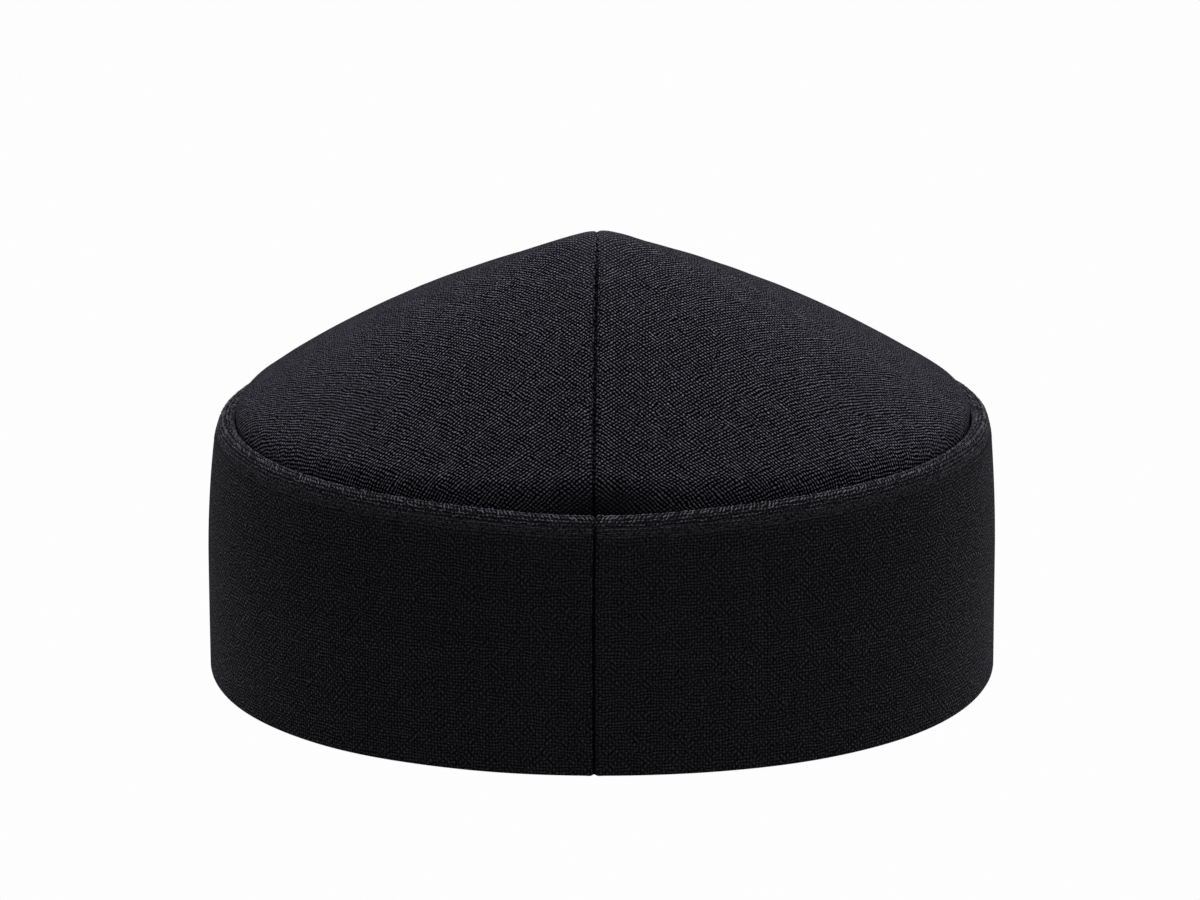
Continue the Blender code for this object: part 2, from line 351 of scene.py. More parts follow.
def spunThread(name, thread, brightness):
    # ply twist drawn along the piece's own grain map
    material, shader, sheet = emptyMaterial(name)
    grain = sheet.add("ShaderNodeUVMap", uv_map="grain").outputs["UV"]
    split = sheet.add("ShaderNodeSeparateXYZ")
    sheet.feed(split.inputs[0], grain)
    turn = sheet.plus(split.outputs["X"], split.outputs["Y"])
    turn = sheet.sum("SINE", sheet.times(turn, 2 * math.pi / thread["twist"]))
    fuzz = sheet.noise(grain, 5200.0, 2.0)
    ply = sheet.plus(sheet.spread(turn, 0.35, 1.0), sheet.spread(fuzz, -0.25, 0.35))
    light = sheet.times(sheet.plus(ply, 0.35), brightness)
    # tone of each stroke: random unevenness, plus painted light and shade on the fold's rows
    paintedLightAndTone = sheet.add("ShaderNodeAttribute", attribute_name="tone")
    light = sheet.times(light, paintedLightAndTone.outputs["Fac"])
    sheet.feed(shader.inputs["Base Color"], sheet.tint(thread["colour"], light))
    bump = sheet.add("ShaderNodeBump")
    bump.inputs["Distance"].default_value = thread["relief"]
    bump.inputs["Strength"].default_value = 0.7
    sheet.feed(bump.inputs["Height"], ply)
    sheet.feed(shader.inputs["Normal"], bump.outputs["Normal"])
    shader.inputs["Roughness"].default_value = thread["roughness"]
    shader.inputs["Specular IOR Level"].default_value = thread["specular"]
    shader.inputs["Sheen Weight"].default_value = thread["sheen"]
    shader.inputs["Sheen Roughness"].default_value = thread["sheenRoughness"]
    return material


bandMaterial = wovenCloth("bandCloth", bandCloth)
crownMaterial = wovenCloth("crownCloth", crownCloth)
yarnMaterial = spunThread("foldYarn", threadCloth, threadCloth["foldBrightness"])
threadMaterial = spunThread("sewingThread", threadCloth, threadCloth["sewingBrightness"])
print("materials ready")


# Side band: doubled cloth folded over a stiffening layer, with its own seam at the front

band = {
    "diameter": 190.0 * mm,     # widest, outside
    "height": 60.9 * mm,
    "wall": 3.0 * mm,
    "foldThick": 4.2 * mm,      # the fold is plumper than the wall below it
    "shoulder": 1.4 * mm,       # how far the fold draws in
    "shoulderFrom": 54.8 * mm,
    "bellyHeight": 27.0 * mm,
    "topLean": 2.1 * mm,
    "footTuck": 0.1 * mm,
    "footRound": 0.9 * mm,
    "footFullness": (1.5 * mm, 2.3 * mm),   # between front and sides, left and right
    "fullnessFade": 1.5,
    "foldRise": 0.80 * mm,      # how far the whole fold stands above the height
    "foldTilt": 0.20 * mm,      # the right side stands higher
    "foldShift": 0.32 * mm,     # and the whole fold a little to the right
    "foldSides": 0.20 * mm,     # both sides stand higher than the front
    "foldSidesShift": 0.20 * mm,    # and this much further to the right
    "foldDip": 1.15 * mm,       # lower at the front seam
    "foldDipWidth": 17.0,       # degrees
    "foldFade": 3,              # how fast all this fades down the band
    "seamX": -0.95 * mm,
    "seamDepth": 1.15 * mm,
    "seamWidth": 0.46 * mm,
    "seamWander": 0.13 * mm,    # how far the seam strays from a straight line
    "seamBeads": 0.35,          # and how unevenly it pulls in
    "seamStitch": 1.9 * mm,     # length of a stitch
    "seamFoot": 2.6 * mm,       # it flattens out this near the foot
    "seamShade": 0.70,          # how much darker the cloth is down in the seam
    "foldShade": 0.62,          # and between the floats of yarn along the fold
    "foldShadeAt": 88.0,        # degrees round the fold from its outer side
    "foldShadeWidth": 52.0,
    "lipHeight": 0.10 * mm,     # cloth rolled up beside the seam
    "lipAt": 1.15 * mm,
    "lipWidth": 0.65 * mm,
    # rows of yarn pressed out under the fold: (below its top, height)
    "pressedRows": ((2.6 * mm, 0.10 * mm), (3.4 * mm, 0.08 * mm), (4.3 * mm, 0.05 * mm)),
    "pressedWidth": 0.22 * mm,
    "pressedHighlight": 4.0,         # painted highlight: how much paler they are, for each mm of height
    "columnStep": 0.5,          # degrees
    "fineRows": 7.0 * mm,       # the mesh is finer this far below the fold
    "unevenness": 0.10 * mm,
}
seamSteps = (0.0, 0.1, 0.2, 0.3, 0.4, 0.5, 0.62, 0.78, 0.98, 1.2, 1.5, 1.9, 2.4, 3.1)  # mm from the seam


def shoulderShare(height):
    return max(0.0, (height - band["shoulderFrom"]) / (band["height"] - band["shoulderFrom"])) ** 2


def bandRadius(height):
    # of the outer face
    widest = band["diameter"] / 2
    if height > band["bellyHeight"]:
        share = (height - band["bellyHeight"]) / (band["height"] - band["bellyHeight"])
        return widest - band["topLean"] * share ** 2 - band["shoulder"] * shoulderShare(height)
    share = (band["bellyHeight"] - height) / band["bellyHeight"]
    return widest - band["footTuck"] * share ** 2


def wallAt(height):
    # wall thickness, swelling to the fold's where it starts to turn
    turnsAt = band["height"] - band["foldThick"] / 2
    swell = min(1.0, shoulderShare(height) / shoulderShare(turnsAt))
    return band["wall"] + (band["foldThick"] - band["wall"]) * swell


def settle(x, y, z):
    # fuller foot between front and sides, a slightly tilted fold, and the dip at the seam
    radius = math.hypot(x, y)
    share = min(1.0, max(0.0, z) / band["height"])
    square = (2 * x * y / radius ** 2) ** 2
    fuller = 1 + band["footFullness"][x > 0] * square * (1 - share) ** band["fullnessFade"] / radius
    azimuth = math.degrees(math.atan2(x, -y))
    abeam = (x / radius) ** 4   # 0 at the front and back, 1 at the sides
    rise = band["foldRise"] + band["foldTilt"] * x / radius + band["foldSides"] * abeam
    rise -= band["foldDip"] * fallOff(azimuth, band["foldDipWidth"])
    aside = (band["foldShift"] + band["foldSidesShift"] * abeam) * share ** (2 * band["foldFade"])
    return Vector((x * fuller + aside, y * fuller, max(0.0, z) + rise * share ** band["foldFade"]))


def bandSection():
    # (radius, height, normal angle, outside or not), up the outer face, over the fold and down inside
    fold, foot = band["foldThick"] / 2, band["footRound"]
    top = band["height"] - fold
    fine = band["fineRows"]
    rows = []
    centre = bandRadius(foot) - foot
    for step in range(5):
        angle = math.radians(-90 + 90 * step / 4)
        rows.append((centre + foot * math.cos(angle), foot + foot * math.sin(angle), angle, True))
    heights = [foot + (top - fine - foot) * step / 36 for step in range(1, 37)]
    heights += [top - fine + fine * step / 34 for step in range(1, 35)]
    rows += [(bandRadius(height), height, 0.0, True) for height in heights]
    centre = bandRadius(top) - fold
    for step in range(1, 21):
        angle = math.radians(180 * step / 20)
        rows.append((centre + fold * math.cos(angle), top + fold * math.sin(angle), angle, step < 19))
    for step in range(1, 31):
        height = top + (foot - top) * step / 30
        rows.append((bandRadius(height) - wallAt(height), height, math.pi, False))
    centre = bandRadius(foot) - band["wall"] + foot
    for step in range(1, 5):
        angle = math.radians(180 + 90 * step / 4)
        rows.append((centre + foot * math.cos(angle), foot + foot * math.sin(angle), angle, True))
    return rows + [rows[0]]


# Row of top stitching under the fold, in a shallow valley of its own

topStitch = {
    "below": 3.85 * mm,         # under the top of the fold
    "pitch": 3.1 * mm,
    "length": 2.3 * mm,
    "thick": 0.30 * mm,
    "proud": 0.06 * mm,
    "valley": 0.16 * mm,
    "valleyWidth": 0.32 * mm,
    "bite": 0.14 * mm,          # extra dimple where the needle went in
    "seamClear": 1.14 * mm,     # no stitch starts this near the seam
}


def seamShare(arc, height):
    # 1 in the middle of the front seam, which strays and pulls in unevenly on its way up
    stray = band["seamWander"] * noise.noise(Vector((0.3, 1.7, height * 430)))
    pull = 1 + band["seamBeads"] * noise.noise(Vector((2.6, 0.4, height * 760)))
    return fallOff(arc - stray, band["seamWidth"] * pull)


def bandRelief(arc, radius, height, outside):
    # arc is the distance round from the front seam
    if not outside:
        return 0.0
    pulse = math.cos(2 * math.pi * height / band["seamStitch"])
    lift = -band["seamDepth"] * seamShare(arc, height) * (1 - 0.12 * pulse)
    lift += band["lipHeight"] * fallOff(abs(arc) - band["lipAt"], band["lipWidth"]) * (1 + 0.5 * pulse)
    lift *= min(1.0, 0.3 + height / band["seamFoot"])
    below = band["height"] - height
    if radius > bandRadius(height) - band["wall"] / 2:
        for at, rise in band["pressedRows"]:
            lift += rise * fallOff(below - at, band["pressedWidth"])
        sunk = fallOff(below - topStitch["below"], topStitch["valleyWidth"])
        needle = 0.5 - 0.5 * math.cos(2 * math.pi * arc / topStitch["pitch"])
        lift -= sunk * (topStitch["valley"] + topStitch["bite"] * (1 - needle) ** 3)
    return lift


def bandTone(azimuth, row):
    radius, height, angle, outside = row
    if not outside:
        return 1.0
    arc = (azimuth if azimuth < math.pi else azimuth - 2 * math.pi) * band["diameter"] / 2
    degrees = math.degrees(angle)
    # painted shade between the fold's yarns and down in the seam, painted highlight on the pressed rows
    # below the fold
    paintedLightAndTone = 0.0
    if height > band["height"] / 2:
        paintedLightAndTone = -band["foldShade"] * fallOff(degrees - band["foldShadeAt"], band["foldShadeWidth"])
    below = band["height"] - height
    if radius > bandRadius(height) - band["wall"] / 2:
        paintedLightAndTone += sum(band["pressedHighlight"] * rise / mm * fallOff(below - at, band["pressedWidth"])
                    for at, rise in band["pressedRows"])
    return (1 + paintedLightAndTone) * (1 - band["seamShade"] * seamShare(arc, height))


def bandPoint(azimuth, row):
    radius, height, angle, outside = row
    seamAngle = math.asin(band["seamX"] / (band["diameter"] / 2))
    arc = azimuth * band["diameter"] / 2
    if azimuth > math.pi:
        arc -= 2 * math.pi * band["diameter"] / 2
    lift = bandRelief(arc, radius, height, outside)
    turn = azimuth + seamAngle
    x, y = math.sin(turn), -math.cos(turn)
    spot = Vector((x * radius, y * radius, height))
    lift += band["unevenness"] * noise.noise(spot * 38) * (1 if angle < 1 else 0)
    radius += lift * math.cos(angle)
    return settle(x * radius, y * radius, height + lift * math.sin(angle))


def buildBand():
    reach = band["diameter"] / 2
    near = [step * mm / reach for step in seamSteps]
    step = math.radians(band["columnStep"])
    even = int((2 * math.pi - 2 * near[-1]) / step)
    turns = near + [near[-1] + (2 * math.pi - 2 * near[-1]) * n / even for n in range(1, even)]
    turns += [2 * math.pi - turn for turn in reversed(near)]
    section = bandSection()
    run, rows = 0.0, []
    for index, row in enumerate(section):
        if index:
            run += math.hypot(row[0] - section[index - 1][0], row[1] - section[index - 1][1])
        rows.append([(bandPoint(turn, row), (turn * reach, run), bandTone(turn, row)) for turn in turns])
    piece = gridPiece("sideBand", rows, closedAcross=True, closedAlong=True)
    return finishPiece(piece, bandMaterial)


sideBand = buildBand()
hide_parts("side_band")
print("side band:", len(sideBand.data.polygons), "faces")


# Short floats of yarn and stitches: small rounded strokes that lie on a surface

def strokes(name, places, material, sides=5):
    # places holds (middle, along, outward, length, width, height, tone)
    points, faces, grain, tones = [], [], [], []
    stations = ((-0.5, 0.28), (-0.25, 0.95), (0.25, 0.95), (0.5, 0.28))
    for middle, along, outward, length, width, height, tone in places:
        along = along.normalized()
        outward = (outward - along * outward.dot(along)).normalized()
        aside = along.cross(outward)
        first = len(points)
        tones += [tone] * (len(stations) * sides)
        for share, fat in stations:
            bow = 1 - (2 * share) ** 2
            spot = middle + along * length * share + outward * height * 0.55 * (bow - 0.4)
            for side in range(sides):
                turn = 2 * math.pi * side / sides
                points.append(spot + aside * math.cos(turn) * width / 2 * fat
                              + outward * math.sin(turn) * height / 2 * fat)
        for ring in range(len(stations) - 1):
            for side in range(sides):
                a, b = ring * sides + side, ring * sides + (side + 1) % sides
                faces.append([first + a, first + b, first + b + sides, first + a + sides])
                low, high = stations[ring][0] * length, stations[ring + 1][0] * length
                edge, far = width * side / sides * 2, width * (side + 1) / sides * 2
                grain += [(low, edge), (low, far), (high, far), (high, edge)]
        last = first + (len(stations) - 1) * sides
        faces.append([first + side for side in reversed(range(sides))])
        faces.append([last + side for side in range(sides)])
        grain += [(0.0, 0.0)] * (2 * sides)
    return finishPiece(newPiece(name, points, faces, grain, tones), material)


def surfaceSpot(turn, row):
    # a point on the band with its directions round the cap and outwards
    spot = bandPoint(turn % (2 * math.pi), row)
    ahead = bandPoint((turn + 0.002) % (2 * math.pi), row)
    aim = turn + math.asin(band["seamX"] / (band["diameter"] / 2))
    level = math.cos(row[2])
    outward = Vector((math.sin(aim) * level, -math.cos(aim) * level, math.sin(row[2])))
    return spot, (ahead - spot).normalized(), outward


foldYarns = {
    # (degrees round the fold, tone, length, slant in degrees, up towards the back on both sides); the tone
    # paints light and shade on each row, paler on the inner rows that the crown shades
    "rows": ((11.0, 0.62, 0.75 * mm, 8.0), (36.0, 0.85, 0.80 * mm, 12.0), (63.0, 1.15, 1.30 * mm, 40.0),
             (90.0, 1.0, 0.80 * mm, 30.0), (112.0, 1.4, 1.0 * mm, 35.0), (130.0, 1.4, 1.0 * mm, 30.0),
             (148.0, 1.2, 1.0 * mm, 62.0)),
    "pitch": 0.92 * mm,
    "width": 0.33 * mm,
    "height": 0.28 * mm,
    "sunk": 0.07 * mm,
    "jitter": 0.24 * mm,
}


def buildFoldYarns():
    places = []
    half = band["foldThick"] / 2
    top = band["height"] - half
    centre = bandRadius(top) - half
    count = round(2 * math.pi * centre / foldYarns["pitch"])
    for line, (degrees, tone, length, slant) in enumerate(foldYarns["rows"]):
        for n in range(count):
            wobble = noise.noise_vector(Vector((n * 0.83, line * 3.3, 0.5)))
            mood = noise.noise(Vector((n * 0.91, line * 5.7, 9.5)))
            angle = math.radians(degrees + wobble.y * 10)
            row = (centre + half * math.cos(angle), top + half * math.sin(angle), angle, True)
            turn = 2 * math.pi * (n + (0.5 if line % 2 else 0.0)) / count
            turn += wobble.x * foldYarns["jitter"] / centre
            spot, along, outward = surfaceSpot(turn, row)
            up = outward.cross(along)
            side = 1 if math.sin(turn) > 0 else -1
            lean = side * math.radians(slant + 55 * wobble.z)
            size = 1 + 0.5 * mood
            places.append((spot - outward * foldYarns["sunk"], along * math.cos(lean) + up * math.sin(lean),
                           outward, length * size, foldYarns["width"] * (1 + 0.3 * wobble.x),
                           foldYarns["height"] * size, tone * (1 + 1.2 * mood)))
    return strokes("foldYarns", places, yarnMaterial)


creaseYarns = {
    # (below the top of the fold, tone)
    "rows": ((2.6 * mm, 0.44), (3.4 * mm, 0.34), (4.3 * mm, 0.25), (5.2 * mm, 0.16)),
    "pitch": 1.30 * mm,
    "length": 1.15 * mm,
    "width": 0.27 * mm,
    "height": 0.22 * mm,
    "sunk": 0.06 * mm,
    "jitter": 0.5 * mm,         # along the row
    "stray": 0.16 * mm,         # and across it
    "seamClear": 0.9 * mm,
}


def buildCreaseYarns():
    # yarns that run round, pressed out in rows just below the fold
    places = []
    reach = band["diameter"] / 2
    count = round(2 * math.pi * reach / creaseYarns["pitch"])
    for line, (below, tone) in enumerate(creaseYarns["rows"]):
        for n in range(count):
            wobble = noise.noise_vector(Vector((n * 0.71, line * 4.9, 3.5)))
            height = band["height"] - below + creaseYarns["stray"] * wobble.y
            arc = (n + 0.5 * (line % 2)) * creaseYarns["pitch"] + wobble.x * creaseYarns["jitter"]
            turn = arc / reach
            if math.cos(turn) > 1 - (creaseYarns["seamClear"] / reach) ** 2 / 2:  # not across the seam
                continue
            spot, along, outward = surfaceSpot(turn, (bandRadius(height), height, 0.0, True))
            along += Vector((0, 0, 0.12 * wobble.z))
            size = 1 + 0.8 * wobble.z
            places.append((spot - outward * creaseYarns["sunk"], along, outward,
                           creaseYarns["length"] * size, creaseYarns["width"], creaseYarns["height"],
                           tone * (1 + 1.4 * wobble.x)))
    return strokes("creaseYarns", places, yarnMaterial)


def buildTopStitches():
    places = []
    height = band["height"] - topStitch["below"]
    row = (bandRadius(height), height, 0.0, True)
    reach = band["diameter"] / 2
    count = round(2 * math.pi * reach / topStitch["pitch"])
    for n in range(count):
        wobble = noise.noise(Vector((n * 0.63, 8.1, 2.2)))
        turn = (n + 0.5) * topStitch["pitch"] / reach
        if turn > 2 * math.pi - topStitch["seamClear"] / reach:
            continue
        spot, along, outward = surfaceSpot(turn, row)
        along = (along + Vector((0, 0, 0.05 * wobble))).normalized()
        places.append((spot + outward * topStitch["proud"], along, outward,
                       topStitch["length"] * (1 + 0.15 * wobble),
                       topStitch["thick"] * 1.15, topStitch["thick"], 1 + 0.5 * wobble))
    return strokes("topStitching", places, threadMaterial, sides=8)


yarnPiece = buildFoldYarns()
creasePiece = buildCreaseYarns()
stitchPiece = buildTopStitches()


# Crown: two panels that meet in a seam from front to back, over a soft point

crown = {
    "tipHeight": 105.65 * mm,
    "cloth": 1.5 * mm,
    "radius": 88.2 * mm,
    "tipFull": 0.36 * mm,       # a soft cap round the tip
    "tipFullAt": 6.0 * mm,
    "tipFullWidth": 4.5 * mm,
    "tipStep": 0.14 * mm,       # the right panel stands this much higher at the tip
    "tipStepWidth": 9.0 * mm,
    "leftFull": 0.50 * mm,      # the left side is fuller below the tip
    "leftFullAt": 12.0 * mm,
    "leftFullWidth": 7.5 * mm,
    # both sides sway a little: (radius, width, to the right)
    "sways": ((51.0 * mm, 13.0 * mm, -0.40 * mm), (84.0 * mm, 7.0 * mm, 0.55 * mm)),
    "tipFan": 6.0 * mm,         # the panels' columns fan out from the seam inside this radius
    "tipSlope": 0.334,          # fall for each mm outwards
    "tipPaintedLight": 0.55,            # painted light: the cloth is paler along the seam near the tip
    "tipPaintedLightReach": 19.0 * mm,
    "tipPaintedLightWidth": 8.0 * mm,
    "tipRound": 2.4 * mm,
    "bow": 12.0 * mm,           # how far the sides bow down at the fold
    "bowPower": 2.7,
    "edgeRoll": 6.0 * mm,       # radius of the rolled edge
    "skirtFoot": 52.0 * mm,
    "gap": 0.3 * mm,            # between the skirt and the band
    # the pocket at the front seam: (depth, half width in degrees)
    "hollows": ((1.0 * mm, 22.0), (2.2 * mm, 7.5)),
    "hollowRoll": 3.5 * mm,     # the edge rolls this tightly there
    "hollowAtFold": 0.75,       # share of its depth that is left at the fold
    "hollowShade": 0.90,        # how much darker it is down at the fold
    "hollowShadeWidth": 8.5,    # degrees
    "seamRidge": 0.35 * mm,     # cloth raised beside the seam
    "seamRidgeAt": 2.0 * mm,
    "seamRidgeWidth": 1.9 * mm,
    "seamDrop": 0.90 * mm,      # how deep the seam is
    "seamDropWidth": 0.46 * mm,
    "seamBeads": 0.5,           # how unevenly the seam pulls in, on each side
    "seamShade": 0.88,          # how much darker the cloth is down in it
    "seamFade": 30.0 * mm,      # how far from the tip it takes to reach its full depth
    "stitch": 1.8 * mm,         # seam stitch length
    "pit": 0.45,                # how much deeper the seam is at a stitch
    "pucker": 0.09 * mm,        # cloth puffed up between the stitches
    "puckerAt": 1.1 * mm,
    "puckerWidth": 1.1 * mm,
    "unevenness": 0.16 * mm,
    "easeFrom": 65.0 * mm,      # from here on the cloth is eased into the band
    "easeOver": 30.0 * mm,
    "easeAlong": 0.20,          # yarns packed closer down the panel
    "easeAcross": 0.12,         # and spread across it
    "rings": 230,
    "columnStep": 2.0,          # degrees
}
# mm from the seam
crownSeamSteps = (0.0, 0.13, 0.27, 0.42, 0.6, 0.8, 1.05, 1.35, 1.7, 2.15, 2.7, 3.4, 4.3, 5.5, 7.0, 9.0, 11.5)


def crownHeight(radius):
    run = math.hypot(radius, crown["tipRound"]) - crown["tipRound"]
    cap = crown["tipFull"] * fallOff(radius - crown["tipFullAt"], crown["tipFullWidth"])
    bow = crown["bow"] * (radius / crown["radius"]) ** crown["bowPower"]
    return crown["tipHeight"] + cap - crown["tipSlope"] * run - bow


def crownFall(radius):
    step = 0.1 * mm
    return math.atan((crownHeight(abs(radius - step)) - crownHeight(radius + step)) / (2 * step))


def hollowPull(azimuth):
    pull = sum(depth * fallOff(azimuth, width) for depth, width in crown["hollows"])
    share = pull / sum(depth for depth, width in crown["hollows"])
    return pull, crown["edgeRoll"] + (crown["hollowRoll"] - crown["edgeRoll"]) * share


def crownSection(azimuth):
    # rows (radius, height, normal angle, run from the tip) down to the foot of the hidden skirt
    pull, roll = hollowPull(azimuth)
    wall = crown["radius"] - pull
    fall = crownFall(wall - roll / 2)
    domeEdge = wall - roll * (1 - math.sin(fall))
    rows = [(0.0, crownHeight(0.0), math.pi / 2)]
    for ring in range(1, crown["rings"] + 1):
        radius = domeEdge * ring / crown["rings"]
        rows.append((radius, crownHeight(radius), math.pi / 2 - crownFall(radius)))
    centreR, centreZ = wall - roll, crownHeight(domeEdge) - roll * math.cos(fall)
    for step in range(1, 11):
        angle = (math.pi / 2 - fall) * (1 - step / 10)
        rows.append((centreR + roll * math.cos(angle), centreZ + roll * math.sin(angle), angle))
    foldFoot = band["height"] - band["foldThick"] / 2
    last = rows[-1]
    inside = bandRadius(foldFoot) - wallAt(foldFoot) - crown["gap"]
    lowest = (inside - pull * crown["hollowAtFold"], foldFoot)
    for step in range(1, 4):
        share = step / 3
        rows.append((last[0] + (lowest[0] - last[0]) * share, last[1] + (lowest[1] - last[1]) * share, 0.0))
    for step in range(1, 4):
        height = foldFoot + (crown["skirtFoot"] - foldFoot) * step / 3
        inside = bandRadius(height) - wallAt(height) - crown["gap"]
        rows.append((inside - pull * crown["hollowAtFold"] * max(0, 1 - step / 2), height, 0.0))
    run, out = 0.0, []
    for index, row in enumerate(rows):
        if index:
            run += math.hypot(row[0] - rows[index - 1][0], row[1] - rows[index - 1][1])
        out.append(row + (run,))
    return out


def seamWidth(run, side):
    pull = noise.noise(Vector((side * 3.7, 0.4, run * 620)))
    return crown["seamDropWidth"] * (1 + crown["seamBeads"] * pull)


def seamRelief(distance, run, side):
    pulse = math.cos(2 * math.pi * run / crown["stitch"])   # +1 between stitches, -1 at a stitch
    ridge = crown["seamRidge"] * fallOff(distance - crown["seamRidgeAt"], crown["seamRidgeWidth"])
    drop = crown["seamDrop"] * fallOff(distance, seamWidth(run, side)) * (1 - crown["pit"] * pulse)
    puff = crown["pucker"] * fallOff(distance - crown["puckerAt"], crown["puckerWidth"]) * pulse
    return ridge - drop + puff


def hollowDark(azimuth, row):
    # the pocket at the front seam, darker towards the fold
    down = min(1.0, max(0.0, (row - crown["rings"] - 9) / 4.5))
    return crown["hollowShade"] * fallOff(azimuth, crown["hollowShadeWidth"]) * down


def crownColumns():
    # (seam step or None, angle, front or back), from the front seam round to the back seam
    angles = [10.0]
    while angles[-1] < 90:
        angles.append(angles[-1] + crown["columnStep"])
    quarter = [(index, 0.0) for index in range(len(crownSeamSteps))] + [(None, angle) for angle in angles]
    return [(i, a, -1) for i, a in quarter] + [(i, a, 1) for i, a in reversed(quarter[:-1])]


def fanCentre(edge, radius):
    # rings start at the seam's own tip and grow into rings round the cap's axis
    share = min(1.0, radius / crown["tipFan"])
    return edge * (1 - share ** 2 * (3 - 2 * share))


def columnAcross(index, angle, edge, reach):
    span = max(0.0, reach - edge)
    if index is None:
        return edge + span * math.sin(math.radians(angle))
    share = 0.165 * (index / (len(crownSeamSteps) - 1)) ** 1.3
    return edge + min(crownSeamSteps[index] * mm, span * share)


def crownGrid(side):
    edge = side * band["seamX"]
    back = crownSection(180.0)
    columns = []
    for index, angle, facing in crownColumns():
        flat = columnAcross(index, angle, edge, crown["radius"])
        azimuth = math.degrees(math.asin(min(1.0, flat / crown["radius"])))
        section = crownSection(azimuth) if facing < 0 else back
        line = []
        for row, (radius, height, angleUp, run) in enumerate(section):
            centre = fanCentre(edge, radius)
            across = columnAcross(index, angle, edge, centre + radius)
            along = facing * math.sqrt(max(0.0, radius ** 2 - (across - centre) ** 2))
            if radius < crown["tipFan"]:
                height = crownHeight(math.hypot(across, along))
            height += crown["tipStep"] * fallOff(radius, crown["tipStepWidth"]) * (side > 0)
            reach = max(radius, 0.05 * mm)
            abeam = min(1.0, across / reach) ** 2   # 0 at the seams, 1 at the side
            fuller = crown["leftFull"] * fallOff(radius - crown["leftFullAt"], crown["leftFullWidth"])
            height += fuller * abeam * (side < 0)
            sway = sum(shift * fallOff(radius - at, width) for at, width, shift in crown["sways"]) * abeam
            lift = 0.0
            fade = min(1.0, 0.25 + run / crown["seamFade"])   # the seam is shallow near the tip
            if height > band["height"] - 1 * mm:
                lift = seamRelief(across - edge, run, side) * fade
                spot = Vector((side * across, along, height))
                lift += crown["unevenness"] * (noise.noise(spot * 46) + 0.4 * noise.noise(spot * 140))
            out = 1 + lift * math.cos(angleUp) / reach if row else 1.0
            point = (side * across * out + sway, along * out, height + lift * math.sin(angleUp))
            stretch = run / reach if row else 1.0
            shade = 1 - crown["seamShade"] * fade * fallOff(across - edge, seamWidth(run, side))
            shade *= 1 - hollowDark(azimuth if facing < 0 else 180.0, row)
            # painted light: paler along the seam near the tip
            shade *= 1 + crown["tipPaintedLight"] * (fallOff(run, crown["tipPaintedLightReach"])
                                             * fallOff(across - edge, crown["tipPaintedLightWidth"]))
            eased = max(0.0, run - crown["easeFrom"]) / crown["easeOver"]
            endOn = along / reach
            spread = across * stretch * (1 - crown["easeAcross"] * eased * endOn ** 2)
            packed = along * stretch + endOn * crown["easeAlong"] * crown["easeOver"] * eased ** 2 / 2
            line.append((point, (spread + 0.2 * (side > 0), packed), shade))
        columns.append(line)
    return columns


def buildCrownPanel(name, side):
    columns = crownGrid(side)
    tip = columns[0][0][0]
    for line in columns:  # every column starts at the one tip point
        line[0] = (tip, line[0][1], line[0][2])
    piece = gridPiece(name, columns, flip=side < 0)
    weld = piece.modifiers.new("tip", "WELD")
    weld.merge_threshold = 0.01 * mm
    thicken = piece.modifiers.new("cloth", "SOLIDIFY")
    thicken.thickness = crown["cloth"]
    thicken.offset = -1.0
    return finishPiece(piece, crownMaterial)


crownLeft = buildCrownPanel("crownPanelLeft", -1)
crownRight = buildCrownPanel("crownPanelRight", 1)
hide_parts("crown_panel_left")
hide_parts("crown_panel_right")
print("crown panels:", len(crownLeft.data.polygons), "and", len(crownRight.data.polygons), "faces")


# Stitches that cross the crown seam between the pits

seamStitch = {
    "length": 0.95 * mm,
    "width": 0.30 * mm,
    "height": 0.30 * mm,
    "sunk": 0.42 * mm,
    "jitter": 0.18 * mm,
    "tone": (0.7, 1.8),         # and how much it varies
}


def buildSeamStitches():
    places = []
    for facing, azimuth in ((-1, 0.0), (1, 180.0)):
        section = crownSection(azimuth)
        length = section[crown["rings"] + 8][3]
        for n in range(1, int(length / crown["stitch"]) + 1):
            run = n * crown["stitch"]
            row = min(section, key=lambda r: abs(r[3] - run))
            radius, height, angle = row[:3]
            wobble = noise.noise_vector(Vector((n * 0.57, facing * 4.1, 1.3)))
            outward = Vector((0, facing * math.cos(angle), math.sin(angle)))
            down = Vector((0, facing * math.sin(angle), -math.cos(angle)))
            spot = Vector((band["seamX"] + wobble.x * seamStitch["jitter"], facing * radius, height))
            lean = 0.55 + 0.5 * wobble.y
            along = Vector((math.sin(lean), 0, 0)) + down * math.cos(lean)
            tone, change = seamStitch["tone"]
            places.append((spot - outward * seamStitch["sunk"], along, outward,
                           seamStitch["length"] * (1 + 0.3 * wobble.z),
                           seamStitch["width"], seamStitch["height"],
                           max(0.1, tone + change * wobble.x)))
    return strokes("seamStitching", places, threadMaterial, sides=8)


seamPiece = buildSeamStitches()

# Seam allowances pressed open inside the crown

allowance = {
    "width": 8.0 * mm,
    "thick": 0.8 * mm,
    "below": 0.25 * mm,         # clear of the panel's inner face
    "end": 80.0 * mm,           # how far from the middle it runs
    "wave": 0.35 * mm,
}


